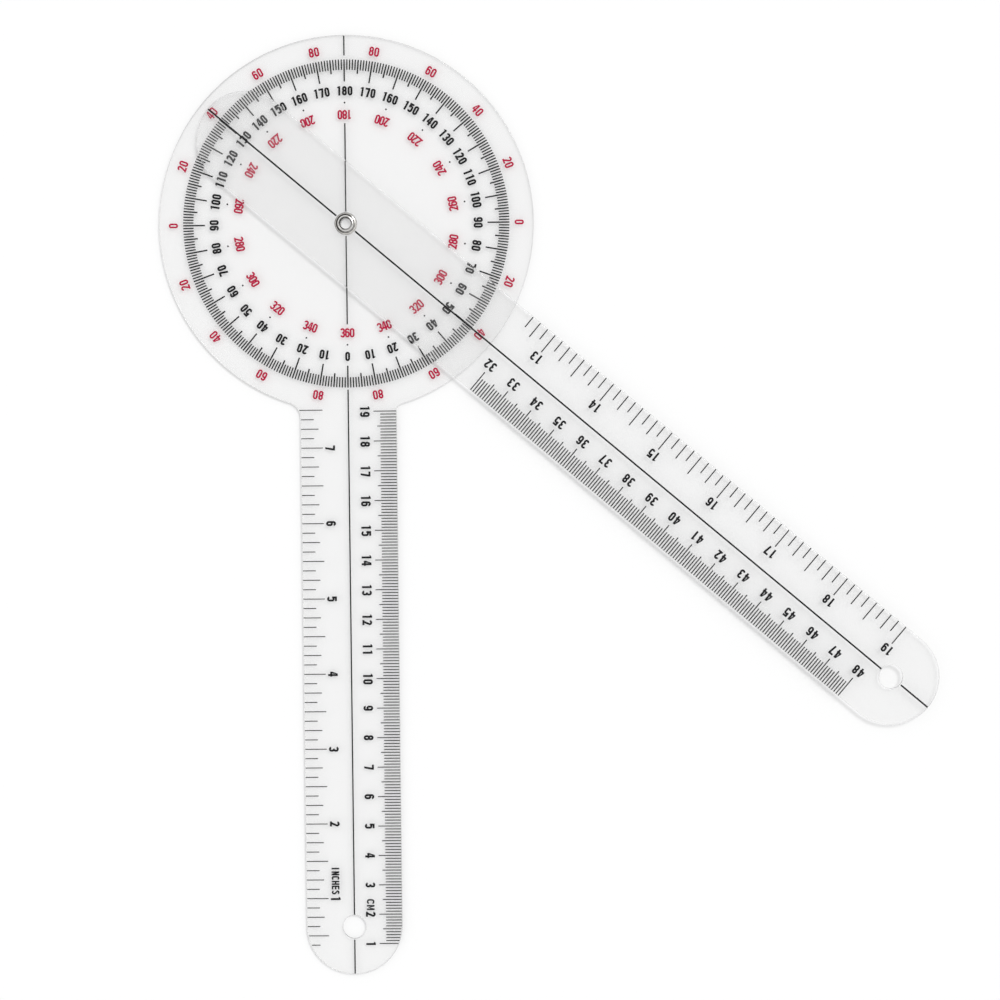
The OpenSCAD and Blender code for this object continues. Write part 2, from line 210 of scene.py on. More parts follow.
floor_paper = principled("floor_paper", base_color=(0.93, 0.93, 0.93, 1), roughness=0.9,
                         specular_ior_level=0.0)[0]
floor_mesh.materials.append(floor_paper)
print("floor at", round(floor_z / MM, 2), "mm")

# %% Key lamp and the white studio round it
key_data = bpy.data.lights.new("key_lamp", "SUN")
key_data.energy = 1.05
key_data.angle = math.radians(26)
key_lamp = new_object("key_lamp", key_data)
key_lamp.visible_transmission = False
key_place = Vector((0.36, 0.40, 1.0))
key_lamp.location = key_place
key_lamp.rotation_euler = key_place.to_track_quat("Z", "Y").to_euler()

world = bpy.data.worlds.new("studio")
bpy.context.scene.world = world
world.use_nodes = True
sky = world.node_tree
direction = add(sky, "ShaderNodeTexCoord").outputs["Generated"]
height = add(sky, "ShaderNodeSeparateXYZ", vector=direction).outputs["Z"]
walls = add(sky, "ShaderNodeFloatCurve", value=height)
brightness = [(0, 0.30), (0.30, 0.60), (0.55, 1.0), (0.80, 1.0), (0.93, 0.50), (1, 0.42)]
curve = walls.mapping.curves[0]
for spot, value in zip(curve.points, (brightness[0], brightness[-1])):
    spot.location = value
for value in brightness[1:-1]:
    curve.points.new(*value)
for spot in curve.points:
    spot.handle_type = "VECTOR"
walls.mapping.update()
feed(sky, sky.nodes["Background"], strength=walls.outputs[0], color=(1, 1, 1, 1))
bpy.context.scene.view_settings.view_transform = "Standard"
print("studio: one soft key lamp, and white walls round a dim ceiling")

# %% [markdown]
# ## Shader groups that the finishes share
# Three effects come back in more than one finish, so each is a node group, built once:
# fine scratches and handling haze on plastic, the small uneven density of printed ink,
# and the dulling of plated metal, with painted shade in its creases. A group
# gives out only masks and values. All of them read Object coordinates, so that the
# patterns stay where they are on the pieces.

# %% Helpers for node groups
def node_group(kind, name, inputs, outputs):
    """A new node group. Each input has a float to start from, or its socket type."""
    group = bpy.data.node_groups.new(name, kind + "NodeTree")
    for title, given in inputs.items():
        number = isinstance(given, float)
        socket = group.interface.new_socket(
            title, in_out="INPUT", socket_type="NodeSocket" + ("Float" if number else given))
        if number:
            socket.default_value = given
    for title in outputs:
        result = "Geometry" if title == "Geometry" else "Float"
        group.interface.new_socket(title, in_out="OUTPUT", socket_type="NodeSocket" + result)
    return group, group.nodes.new("NodeGroupInput"), group.nodes.new("NodeGroupOutput")


def math_node(tree, operation, a, b=None, clamp=False):
    """A Math node whose inputs are sockets or plain numbers."""
    node = add(tree, "ShaderNodeMath", operation=operation, use_clamp=clamp)
    for socket, value in zip(node.inputs, (a, b)):
        if value is not None:
            plug(tree, value, socket)
    return node.outputs[0]


def times(tree, a, b):
    """The product of two sockets or numbers."""
    return math_node(tree, "MULTIPLY", a, b)


def blend(tree, first, second, share=0.4):
    """The sum of two masks, of which the second has this share."""
    return math_node(tree, "ADD", times(tree, first, 1 - share), times(tree, second, share))


def stretched(tree, coordinates, scale, turn):
    """The coordinates through a Mapping node, turned about Z and scaled."""
    return add(tree, "ShaderNodeMapping", rotation=(0, 0, math.radians(turn)), scale=scale,
               vector=coordinates).outputs[0]


def noise(tree, vector, scale, detail):
    """The value of a noise texture."""
    return add(tree, "ShaderNodeTexNoise", vector=vector, scale=scale,
               detail=detail).outputs[0]


def ranged(tree, value, low, high, to_low=0.0, to_high=1.0):
    """value from low..high onto to_low..to_high, held at its ends."""
    return add(tree, "ShaderNodeMapRange", value=value, from_min=low, from_max=high,
               to_min=to_low, to_max=to_high).outputs["Result"]


def mixed(tree, factor, first, second):
    """The colour first where factor is 0 and second where it is 1."""
    first, second = ((*c, 1) if isinstance(c, tuple) else c for c in (first, second))
    return add(tree, "ShaderNodeMix", data_type="RGBA", factor=factor, a=first,
               b=second).outputs["Result"]


def embossed(tree, shader, height, strength, distance):
    """A Bump node that raises the shader's surface by this height."""
    bump = add(tree, "ShaderNodeBump", strength=strength, distance=distance, height=height)
    feed(tree, shader, normal=bump.outputs["Normal"])


# %% Handling haze on plastic
def build_haze_group():
    """Smudges, and hairline scratches in three directions, as masks and a height."""
    group, source, sink = node_group("Shader", "handling_haze", {
        "Scratch Density": 0.5, "Smudge Size": 30.0}, ["Scratch", "Smudge", "Height"])
    where = group.nodes.new("ShaderNodeTexCoord").outputs["Object"]
    ways = ((12, 900), (71, 1300), (128, 1100))
    along, patch = 14, 45
    lines = None
    for turn, across in ways:
        fibres = noise(group, stretched(group, where, (across, along, 1), turn), 1.0, 2.0)
        patches = noise(group, stretched(group, where, (patch, patch, 1), turn), 1.0, 2.0)
        edge = math_node(group, "SUBTRACT", 0.79,
                         times(group, source.outputs["Scratch Density"], 0.08))
        mask = times(group, ranged(group, fibres, edge, 0.83),
                     ranged(group, patches, 0.48, 0.62))
        lines = mask if lines is None else math_node(group, "MAXIMUM", lines, mask)
    clouds = noise(group, where, source.outputs["Smudge Size"], 5.0)
    feed(group, sink, scratch=lines, smudge=ranged(group, clouds, 0.42, 0.68),
         height=times(group, lines, -1.0))
    return group


haze_group = build_haze_group()


# %% Uneven density of printed ink
def build_ink_group():
    """How thickly the ink lies, with fine grain and a slower drift of density."""
    group, source, sink = node_group("Shader", "ink_density", {"Grain": 1.0},
                                     ["Density", "Height"])
    where = group.nodes.new("ShaderNodeTexCoord").outputs["Object"]
    fine, slow = 9000.0, 350.0
    grain = noise(group, where, fine, 2.0)
    both = blend(group, grain, noise(group, where, slow, 2.0))
    scaled = times(group, both, source.outputs["Grain"])
    feed(group, sink, density=ranged(group, scaled, 0.32, 0.62), height=grain)
    return group


ink_group = build_ink_group()


# %% Dulled plating
turned_lines = 9000.0


def build_plating_group():
    """Turned lines round the axis, cloudy tarnish, and painted shade in two creases, heaviest away
    from the lamp, as masks.
    """
    group, source, sink = node_group("Shader", "dull_plating", {
        "Line Count": turned_lines, "Inner Crease": 2.0 * MM, "Outer Crease": 3.0 * MM,
        "Crease Width": 0.2 * MM}, ["Lines", "Tarnish", "Grime"])
    given = source.outputs
    where = group.nodes.new("ShaderNodeTexCoord").outputs["Object"]
    x, y, z = add(group, "ShaderNodeSeparateXYZ", vector=where).outputs
    flat = add(group, "ShaderNodeCombineXYZ", x=x, y=y).outputs[0]
    radius = add(group, "ShaderNodeVectorMath", operation="LENGTH",
                 vector=flat).outputs["Value"]
    rings = add(group, "ShaderNodeCombineXYZ", x=times(group, radius, given["Line Count"]),
                y=times(group, z, given["Line Count"])).outputs[0]
    # Painted shade: the crease mask is painted heaviest on the side away from the lamp.
    shadow_side = math_node(group, "ADD", times(group, x, -90.0), times(group, y, 60.0))
    # Painted shade in the two creases, as a mask by distance from the axis.
    grime = None
    for title in ("Inner Crease", "Outer Crease"):
        off = math_node(group, "ABSOLUTE", math_node(group, "SUBTRACT", radius, given[title]))
        mask = ranged(group, math_node(group, "DIVIDE", off, given["Crease Width"]), 1.0, 0.35)
        grime = mask if grime is None else math_node(group, "MAXIMUM", grime, mask)
    specks = ranged(group, noise(group, where, 1100.0, 3.0), 0.35, 0.6, 0.7, 1.0)
    patchy = math_node(group, "ADD", specks, shadow_side, clamp=True)
    feed(group, sink, lines=noise(group, rings, 1.0, 2.0), grime=times(group, grime, patchy),
         tarnish=ranged(group, noise(group, where, 700.0, 4.0), 0.40, 0.66))
    return group


plating_group = build_plating_group()
print("shader groups:", [g.name for g in (haze_group, ink_group, plating_group)])

# %% [markdown]
# ## Clear plastic
# Clear plastic is glass with the index of acrylic, a small share of milky scatter,
# and a roughness that rises where it is scratched or smudged. Plain glass would cast
# hard dark shadows and leave the print below it unlit, because light rarely finds its
# way through. So rays towards the lamp and rays that gather the studio's light meet a
# transparent shader instead, each with its own share: that is the Light Path switch.
# The cut edge is a second finish, because a sawn edge scatters more light than a face, and its
# darker grey is painted shade for the dark line along an edge.
# Real edges also bend the lamp's light aside, so that only those away from the lamp
# have a shadow. Backfacing tells the two sides of a face apart, and gives each its
# own share of the lamp.

# %% Clear plastic
def group_in(material, group, **values):
    """The node group inside this material, with its own values."""
    return add(material.node_tree, "ShaderNodeGroup", node_tree=group, **values)


def let_lamps_through(tree, shader, shares):
    """Over the shader, a transparent one for each kind of ray, {kind: share passed}."""
    path = tree.nodes.new("ShaderNodeLightPath")
    seen = shader.outputs["BSDF"]
    for kind, share in shares.items():
        colour = share if isinstance(share, bpy.types.NodeSocket) else (share,) * 3 + (1,)
        passing = add(tree, "ShaderNodeBsdfTransparent", color=colour)
        switch = tree.nodes.new("ShaderNodeMixShader")
        for socket, value in zip(switch.inputs, (path.outputs[kind], seen, passing.outputs[0])):
            tree.links.new(value, socket)
        seen = switch.outputs[0]
    feed(tree, tree.nodes["Material Output"], surface=seen)


def clear_plastic(name, clarity, walls, entering, leaving, smooth, worn_rough, grey):
    """Acrylic. clarity is the share that isn't milky; walls is the part of the studio's
    light it passes, and entering and leaving the part of a lamp's, at each side of a face."""
    material, shader = principled(name, ior=1.49, metallic=0.0, transmission_weight=clarity)
    tree = material.node_tree
    haze = group_in(material, haze_group, scratch_density=0.1, smudge_size=30.0).outputs
    worn = math_node(tree, "MAXIMUM", haze["Scratch"], times(tree, haze["Smudge"], 0.15))
    feed(tree, shader, roughness=ranged(tree, worn, 0.0, 1.0, smooth, worn_rough),
         base_color=mixed(tree, worn, (grey,) * 3, (grey * 0.993,) * 3))
    embossed(tree, shader, haze["Height"], 0.02, 0.02 * MM)
    side = tree.nodes.new("ShaderNodeNewGeometry")
    lamp = ranged(tree, side.outputs["Backfacing"], 0.0, 1.0, leaving, entering)
    let_lamps_through(tree, shader, {"Is Diffuse Ray": walls, "Is Shadow Ray": lamp})
    return material


face_plastic = clear_plastic("clear_face", clarity=0.985, walls=0.98, entering=0.98,
                             leaving=0.98, smooth=0.01, worn_rough=0.04, grey=0.98)
# The edge's darker grey is painted shade for the dark line that a cut edge shows.
edge_plastic = clear_plastic("clear_edge", clarity=0.92, walls=0.88, entering=0.80,
                             leaving=0.0, smooth=0.08, worn_rough=0.14, grey=0.88)
print("plastic:", face_plastic.name, edge_plastic.name)

# %% [markdown]
# ## Printed ink
# The print is screen-printed in black and red, in a film that isn't quite even. One
# function serves both colours: it mixes the thick and the thin colour by the ink
# group's density. Ink lies on clear plastic, so its shadow on the sheet below it is
# weak, and it passes most of the lamp's light.

# %% Printed ink
def printed_ink(name, full, thin):
    """Ink that is deepest where it lies thickest, with a soft sheen and a weak shadow."""
    material, shader = principled(name, specular_ior_level=0.2)
    tree = material.node_tree
    ink = group_in(material, ink_group, grain=1.0).outputs
    feed(tree, shader, base_color=mixed(tree, ink["Density"], thin, full),
         roughness=ranged(tree, ink["Density"], 0.0, 1.0, 0.62, 0.42))
    embossed(tree, shader, ink["Height"], 0.15, 0.004 * MM)
    let_lamps_through(tree, shader, {"Is Shadow Ray": 0.75})
    return material


black_ink = printed_ink("printed_black", (0.003, 0.003, 0.004), (0.012, 0.012, 0.014))
red_ink = printed_ink("printed_red", (0.39, 0.002, 0.036), (0.48, 0.005, 0.052))
print("ink:", black_ink.name, red_ink.name)

# %% [markdown]
# ## Plated metal
# The eyelet and its washer are thin brass with a bright plating. Their rings are told
# apart by painted shade in the creases between them: the shade is placed by its
# distance from the axis, and is painted heaviest on the side away from the lamp. Where
# it lies, the surface is darker and less metallic. The metal passes most
# light for the print and the floor, because the bore would be a dark well otherwise.

# %% Plated metal
# The colour of the painted shade in the metal's creases.
painted_shade_colour = (0.03, 0.028, 0.026)


def plated_metal(name, bright, dull, smooth, rough, inner_crease, outer_crease, width):
    """Nickel plate: bright along turned lines, duller with tarnish, and darker with painted shade
    in its creases.
    """
    material, shader = principled(name)
    tree = material.node_tree
    plating = group_in(material, plating_group, line_count=turned_lines,
                       inner_crease=inner_crease * MM, outer_crease=outer_crease * MM,
                       crease_width=width * MM).outputs
    clean = mixed(tree, plating["Tarnish"], bright, dull)
    uneven = blend(tree, plating["Lines"], plating["Tarnish"])
    # Painted shade: the crease mask darkens the colour and lowers the metallic.
    feed(tree, shader, base_color=mixed(tree, plating["Grime"], clean, painted_shade_colour),
         metallic=ranged(tree, plating["Grime"], 0.0, 1.0, 1.0, 0.4),
         roughness=ranged(tree, uneven, 0.2, 0.8, smooth, rough))
    embossed(tree, shader, plating["Lines"], 0.12, 0.01 * MM)
    let_lamps_through(tree, shader, {"Is Diffuse Ray": 0.95, "Is Shadow Ray": 0.92})
    return material


eyelet_metal = plated_metal("eyelet_nickel", (0.95, 0.94, 0.92), (0.84, 0.82, 0.79),
                            smooth=0.08, rough=0.22, inner_crease=1.97, outer_crease=2.93,
                            width=0.42)
washer_metal = plated_metal("washer_nickel", (0.93, 0.91, 0.87), (0.78, 0.76, 0.72),
                            smooth=0.10, rough=0.26, inner_crease=3.02, outer_crease=3.78,
                            width=0.46)
print("metal:", eyelet_metal.name, washer_metal.name)

# %% [markdown]
# ## The two plastic sheets
# Each sheet is cut from flat stock, and its edges are lightly rounded. A flat curve
# suits that: the outline and the holes are closed lines, Blender fills between them,
# and the curve's own extrusion and bevel give the thickness and the rounded edge. The
# faces then get the clear finish and everything that slopes gets the edge finish.
# The sheet stops a hair below the ink, so that the two never share a surface.

# %% Outline helpers
rim_round = 0.3 * MM
ink_gap = 0.004 * MM
disc_steps, tip_steps, hole_steps, neck_steps = 240, 48, 64, 14


def neck_centre(side, radius):
    """Middle of the round where the dial runs into the arm, side +1 or -1."""
    x = half_w + radius
    return side * x, -math.sqrt((disc_r + radius) ** 2 - x * x)


def angle_of(point):
    """The direction of a point from the pivot, in degrees."""
    return math.degrees(math.atan2(point[1], point[0]))


def circle(centre, radius, steps):
    """Points round a circle, for a closed line."""
    return arc(centre, radius, 0, 360 - 360 / steps, steps - 1)


def flat_curve(name, loops, half_thick):
    """A filled flat curve of closed lines, as thick as twice half_thick."""
    curve = bpy.data.curves.new(name, "CURVE")
    curve.dimensions = "2D"
    curve.fill_mode = "BOTH"
    curve.extrude = half_thick
    for loop in loops:
        spline = curve.splines.new("POLY")
        spline.points.add(len(loop) - 1)
        for point, (x, y) in zip(spline.points, loop):
            point.co = (x, y, 0, 1)
        spline.use_cyclic_u = True
    return curve


def cut_sheet(name, loops, low, high):
    """A sheet between two heights with rounded edges, from an outline and its holes."""
    curve = flat_curve(name, loops, (high - low) / 2 - rim_round)
    curve.bevel_depth = rim_round
    curve.bevel_resolution = 2
    curve.offset = -rim_round
    sheet = baked(new_object(name + "_outline", curve), name)
    sheet.data.transform(Matrix.Translation((0, 0, (low + high) / 2)))
    tidy(sheet)
    sheet.data.materials.clear()
    sheet.data.materials.append(face_plastic)
    sheet.data.materials.append(edge_plastic)
    for face in sheet.data.polygons:
        flat = abs(face.normal.z) > 0.999
        face.material_index = 0 if flat else 1
        face.use_smooth = not flat
    return sheet


# %% Dial sheet with the fixed arm
neck_inch, neck_cm = 5 * MM, 2 * MM
inch_round, cm_round = neck_centre(-1, neck_inch), neck_centre(1, neck_cm)
dial_outline = arc((0, -reach), half_w, 180, 360, tip_steps)
dial_outline += arc(cm_round, neck_cm, 180, 180 + angle_of(cm_round), neck_steps)
dial_outline += arc((0, 0), disc_r, angle_of(cm_round), angle_of(inch_round) + 360,
                    disc_steps)[1:-1]
dial_outline += arc(inch_round, neck_inch, 180 + angle_of(inch_round), 0, neck_steps)
eye_hole_r = 2.18 * MM
dial_sheet = cut_sheet("dial_sheet", [dial_outline, circle((0, 0), eye_hole_r, hole_steps),
                                      circle((0, -reach), hang_r, hole_steps)],
                       dial_low.z, dial_high.z - ink_gap)
finish_piece(dial_sheet, "dial_arm", "clear_plastic", "dial_plate")

# %% [markdown]
# ## The moving arm
# The moving arm is a plain strip with two round ends and two holes, so its outline is
# two half circles. It is drawn straight down and then turned to the angle at which the
# frame stores it. Its tail ends just inside the dial's rim.

# %% Moving arm
tail_r = disc_r - 2.9 * MM
arm_outline = arc((0, -reach), half_w, 180, 360, tip_steps)
arm_outline += arc((0, tail_r - half_w), half_w, 0, 180, tip_steps)
run_hole_r = 2.23 * MM
arm_sheet = cut_sheet("moving_arm_sheet", [arm_outline, circle((0, 0), run_hole_r, hole_steps),
                                           circle((0, -reach), hang_r, hole_steps)],
                      arm_low.z, arm_high.z - ink_gap)
arm_sheet.data.transform(Matrix.Rotation(opening, 4, "Z"))
finish_piece(arm_sheet, "moving_arm", "clear_plastic", "moving_arm_plate")

# %% [markdown]
# ## Digits and letters
# The printed figures are narrow, upright and even, as a draughtsman's stencil makes
# them. Each one is drawn here as pen lines of one width, given in millimetres about
# its own middle, so that the same drawing serves every height and weight.

# %% Pen lines
def bow(x, y, across, up, start, end):
    """Points along part of an ellipse, angles in degrees."""
    steps = max(4, round(abs(end - start) / 11))
    angles = [math.radians(start + (end - start) * i / steps) for i in range(steps + 1)]
    return [(x + across * math.cos(t), y + up * math.sin(t)) for t in angles]


def pen(path, width, closed=False):
    """The edges of a pen line: one loop round an open path, two for a closed one."""
    path = [Vector(p) for p in path]
    last = len(path) - 1
    left, right = [], []
    for i, point in enumerate(path):
        steps = []
        if closed or i > 0:
            steps.append(point - path[i - 1])
        if closed or i < last:
            steps.append(path[(i + 1) % len(path)] - point)
        sides = [Vector((-d.y, d.x)).normalized() for d in steps]
        both = sides[0] + sides[-1]
        out = both * (width / both.length_squared)
        left.append(point + out)
        right.append(point - out)
    return [left, right] if closed else [left + right[::-1]]


def shape(*points):
    """A filled outline."""
    return [points]


def block(x0, y0, x1, y1):
    """A filled rectangle between two corners."""
    return shape((x0, y0), (x1, y0), (x1, y1), (x0, y1))


def oval(a, low, high):
    """A closed path of half width a between two heights, with round ends."""
    r = min(a, (high - low) / 2.05)
    return bow(0, high - r, a, r, 0, 180) + bow(0, low + r, a, r, 180, 360)


# %% The figures
def digit(c, w, h, s):
    """The parts of one digit w wide and h high, drawn with a pen s wide."""
    a, b = (w - s) / 2, (h - s) / 2
    if c == "0":
        return [pen(oval(a, -b, b), s, closed=True)]
    if c == "1":
        right, left = 0.1 * w + s / 2, 0.1 * w - s / 2
        return [shape((left, -h / 2), (right, -h / 2), (right, h / 2), (left + s / 4, h / 2),
                      (left - 0.22 * w, 0.4 * h), (left - 0.22 * w, 0.27 * h), (left, 0.33 * h))]
    if c == "2":
        return [pen(bow(0, b - a, a, a, 175, -25) + [(s / 4 - a, -b)], s),
                block(-w / 2, -h / 2, w / 2, s - h / 2)]
    if c == "3":
        bowl = bow(0, b - a, a, a, 170, 0) + bow(0.1 * a, 0.45 * b, 0.9 * a, 0.45 * b, 0, -90)
        bowl += [(-0.3 * a, 0)]
        return [pen([(x, k * (y + 0.02)) for x, y in bowl], s) for k in (1, -1)]
    if c == "4":
        post, bar = 0.18 * w, -0.28 * h
        slope = shape((post - 0.7 * s, h / 2), (-w / 2, bar + s), (-w / 2, bar + 0.2 * s),
                      (0.9 * s - w / 2, bar + s), (post - s / 2, 0.32 * h), (post, 0.4 * h))
        return [slope, block(post - s / 2, -h / 2, post + s / 2, h / 2),
                block(-w / 2, bar, w / 2, bar + s)]
    if c == "5":
        belly = bow(0, 0.3 * b - 0.5 * a, a, 0.8 * a, 165, 0) + bow(0, a - b, a, a, 0, -170)
        return [pen([(a + s / 3, b), (-a, b), (-a, 0.02 * b)], s), pen(belly, s)]
    if c in "69":
        turn = 1 if c == "6" else -1
        hook = [(-a, -0.3 * b)] + bow(0, b - a, a, a, 180, 5)
        return [pen([(turn * x, turn * y) for x, y in oval(a, -b, 0.22 * b)], s, closed=True),
                pen([(turn * x, turn * y) for x, y in hook], s)]
    if c == "7":
        return [shape((-w / 2, h / 2), (w / 2, h / 2), (w / 2, h / 2 - s),
                      (0.02 * w + s / 2, -h / 2), (0.02 * w - s / 2, -h / 2),
                      (w / 2 - 1.05 * s, h / 2 - s), (-w / 2, h / 2 - s))]
    return [pen(oval(0.94 * a, 0.06 * b, b), s, closed=True),
            pen(oval(a, -b, 0.06 * b), s, closed=True)]


def letter(c, w, h, s):
    """The parts of one letter of the two unit words."""
    a, b = (w - s) / 2, (h - s) / 2
    posts = [block(k * a - s / 2, -h / 2, k * a + s / 2, h / 2) for k in (-1, 1)]
    if c == "I":
        return [block(-s / 2, -h / 2, s / 2, h / 2)]
    if c == "N":
        return posts + [shape((-w / 2, h / 2), (s - w / 2, h / 2), (w / 2, -h / 2),
                              (w / 2 - s, -h / 2))]
    if c == "M":
        return posts + [shape((-w / 2, h / 2), (s - w / 2, h / 2), (0, s - 0.35 * h),
                              (w / 2 - s, h / 2), (w / 2, h / 2), (0, -0.35 * h))]
    if c == "C":
        return [pen(bow(0, b - a, a, a, 15, 180) + bow(0, a - b, a, a, 180, 345), s)]
    if c == "H":
        return posts + [block(-a, -s / 2, a, s / 2)]
    if c == "E":
        return posts[:1] + [block(-a, y - s / 2, w / 2 - s / 8, y + s / 2) for y in (-b, 0, b)]
    return [pen(bow(0, b - a, a, a, 15, 180) + [(a, -0.28 * b)] + bow(0, a - b, a, a, 0, -165), s)]


# %% Type cases
def film(name, loops, thickness):
    """A flat film in millimetres, from outlines that are filled in turn."""
    curve = flat_curve(name, loops, thickness / 2)
    obj = baked(new_object(name + "_outline", curve), name)
    obj.data.transform(Matrix.Translation((0, 0, thickness / 2)))
    tidy(obj, 1e-5)
    return obj


def type_case(name, characters, width, height, stroke):
    """A collection that holds one mesh for each character, in the order given."""
    case = bpy.data.collections.new(name)
    for place, c in enumerate(characters):
        title = f"{name}_{place:02d}_{c}"
        if c == ".":
            parts = [[circle((0, 0), width / 2, 24)]]
        else:
            parts = (letter if c.isalpha() else digit)(c, width, height, stroke)
        solids = [film(f"{title}_part{i}", loops, ink_t / MM) for i, loops in enumerate(parts)]
        for other in solids[1:]:
            join = solids[0].modifiers.new("join", "BOOLEAN")
            join.operation = "UNION"
            join.solver = "EXACT"
            join.object = other
        glyph = baked(solids[0], title)
        for other in solids[1:]:
            bpy.data.objects.remove(other)
        glyph.data.transform(Matrix.Scale(MM, 4))
        bpy.context.scene.collection.objects.unlink(glyph)
        case.objects.link(glyph)
    print(f"type case {name}: {len(characters)} figures")
    return case


digits = "0123456789"
black_case, red_case, ruler_case, cm_case, inches_case, dot_case = cases = [
    type_case(*sizes) for sizes in (
        ("black_dial_type", digits, 1.62, 3.1, 0.66), ("red_dial_type", digits, 1.58, 3.1, 0.56),
        ("ruler_type", digits, 1.7, 3.3, 0.67), ("cm_type", "CM", 1.7, 2.6, 0.5),
        ("inches_type", "INCHES", 1.36, 2.6, 0.5), ("dot_type", ".", 0.6, 0.6, 0.6))]

# %% [markdown]
# ## Setting the figures by Geometry Nodes
# The figures are printed the way type is set. Each figure's place is one point, which
# carries two numbers: which figure of the type case it is, and how far it is turned.
# A node group picks the figure from the case, puts one on every point and inks it.

# %% Helpers for Geometry Nodes
def geometry_group(name, inputs):
    """A geometry node group that may serve as a modifier, {input name: socket type}."""
    parts = node_group("Geometry", name, {"Geometry": "Geometry", **inputs}, ["Geometry"])
    parts[0].is_modifier = True
    return parts


def attribute(group, name, kind="FLOAT"):
    """The value of a named attribute of the points."""
    return add(group, "GeometryNodeInputNamedAttribute", data_type=kind,
               name=name).outputs["Attribute"]


def combine(group, x, y, z):
    """A vector from three sockets or numbers."""
    return add(group, "ShaderNodeCombineXYZ", x=x, y=y, z=z).outputs[0]


def laid(group, points, instance, turn, scale, ink, **pick):
    """An inked copy of instance on every point, as one real mesh."""
    rotation = add(group, "FunctionNodeEulerToRotation", euler=combine(group, 0.0, 0.0, turn))
    place = add(group, "GeometryNodeInstanceOnPoints", points=points, instance=instance,
                rotation=rotation.outputs[0], scale=scale, **pick)
    real = add(group, "GeometryNodeRealizeInstances", geometry=place.outputs["Instances"])
    return add(group, "GeometryNodeSetMaterial", geometry=real.outputs[0],
               material=ink).outputs[0]


def run_group(group, name, mesh, **values):
    """The plain mesh object that the group makes from mesh with these input values."""
    source = new_object(name + "_points", mesh)
    modifier = source.modifiers.new(group.name, "NODES")
    modifier.node_group = group
    for item in group.interface.items_tree:
        key = item.name.lower().replace(" ", "_")
        if item.in_out == "INPUT" and key in values:
            modifier[item.identifier] = values[key]
    return baked(source, name)


def points_mesh(name, places, **columns):
    """A mesh of loose points, with one attribute for each column of numbers."""
    mesh = bpy.data.meshes.new(name)
    mesh.from_pydata(places, [], [])
    for title, numbers in columns.items():
        kind = "INT" if isinstance(numbers[0], int) else "FLOAT"
        mesh.attributes.new(title, kind, "POINT").data.foreach_set("value", numbers)
    return mesh


def print_on(name, parts, ink, height, turn, body, slot, *nodes):
    """Joins printed parts into one piece of that body, on a sheet's face at a height."""
    bm = bmesh.new()
    for part in parts:
        bm.from_mesh(part.data)
        bpy.data.objects.remove(part)
    for face in bm.faces:
        face.material_index = 0
    mesh = bpy.data.meshes.new(name)
    bm.to_mesh(mesh)
    bm.free()
    mesh.materials.append(ink)
    mesh.transform(Matrix.Translation((0, 0, height)) @ Matrix.Rotation(turn, 4, "Z"))
    finish_piece(new_object(name, mesh), body, slot, *nodes)


# %% The type-setting group
def build_type_setter():
    """Sets one figure of a type case on every point, and inks it."""
    group, source, sink = geometry_group(
        "set_figures", {"Type Case": "Collection", "Figure Size": "Float", "Ink": "Material"})
    given = source.outputs
    case = add(group, "GeometryNodeCollectionInfo", collection=given["Type Case"],
               separate_children=True, reset_children=True).outputs[0]
    feed(group, sink, geometry=laid(
        group, given["Geometry"], case, attribute(group, "turn"), given["Figure Size"],
        given["Ink"], pick_instance=True, instance_index=attribute(group, "figure", "INT")))
    return group


type_setter = build_type_setter()


class Line:
    """A line of figures from one type case, filled with rows of text and then printed."""

    def __init__(self, case, characters, pitch, ink):
        self.case, self.characters, self.pitch, self.ink = case, characters, pitch * MM, ink
        self.places, self.figures, self.turns = [], [], []

    def row(self, text, x, y, turn):
        """A row centred on x, y, whose base line is turned by so many degrees."""
        angle = math.radians(turn)
        for i, c in enumerate(text):
            along = (i - (len(text) - 1) / 2) * self.pitch
            self.places.append((x + along * math.cos(angle), y + along * math.sin(angle), 0))
            self.figures.append(self.characters.index(c))
            self.turns.append(angle)

    def on_dial(self, text, degrees, radius, inward=False):
        """A row at a reading of the dial, its feet outwards unless it faces inward."""
        angle = math.radians(degrees)
        self.row(text, radius * math.sin(angle), -radius * math.cos(angle),
                 degrees + (0 if inward else 180))

    def printed(self):
        """The mesh object of all rows."""
        name = self.case.name + "_set"
        points = points_mesh(name, self.places, figure=self.figures, turn=self.turns)
        return run_group(type_setter, name, points, type_case=self.case, figure_size=1.0,
                         ink=self.ink)


def up_to(first, last):
    """The whole numbers from first to last."""
    return range(math.ceil(first), int(last) + 1)


def both_sides(v):
    """The two sides of the dial, or the one on which 0 and 180 stand."""
    return (1,) if v % 180 == 0 else (1, -1)


# %% [markdown]
# ## The black and the red figures
# Rings of print are given by their distance from the rim, and a figure's angle by its
# own reading, so that 0 lies on the fixed arm. Both rulers count from a zero mark near
# the tip of the fixed arm, in true centimetres and inches, and go on in the moving arm
# past the dial. Each sheet's figures of one ink become one piece.

# %% Black figures of the dial and the fixed arm
black_r, dot_r = disc_r - 18.6 * MM, disc_r - 22.5 * MM
cm, inch = 10 * MM, 25.4 * MM
zero_r = tip_r - 0.6 * MM
cm_x, inch_x = 5.525 * MM, 6.275 * MM
neck_limit = zero_r - math.sqrt(disc_r ** 2 - half_w ** 2)

black_line = Line(black_case, digits, 1.88, black_ink)
dot_line = Line(dot_case, ".", 1, black_ink)
for v in range(0, 181, 10):
    for side in both_sides(v):
        black_line.on_dial(str(v), side * v, black_r)
for v in range(0, 360, 20):
    dot_line.on_dial(".", v, dot_r)


def ruler_rows(line, first, last, pitch, x, reading):
    """Numerals from first to last. reading is 1 on the fixed arm and -1 on the moving."""
    for v in up_to(first, last):
        line.row(str(v), x, reading * (v * pitch - zero_r), -90 * reading)


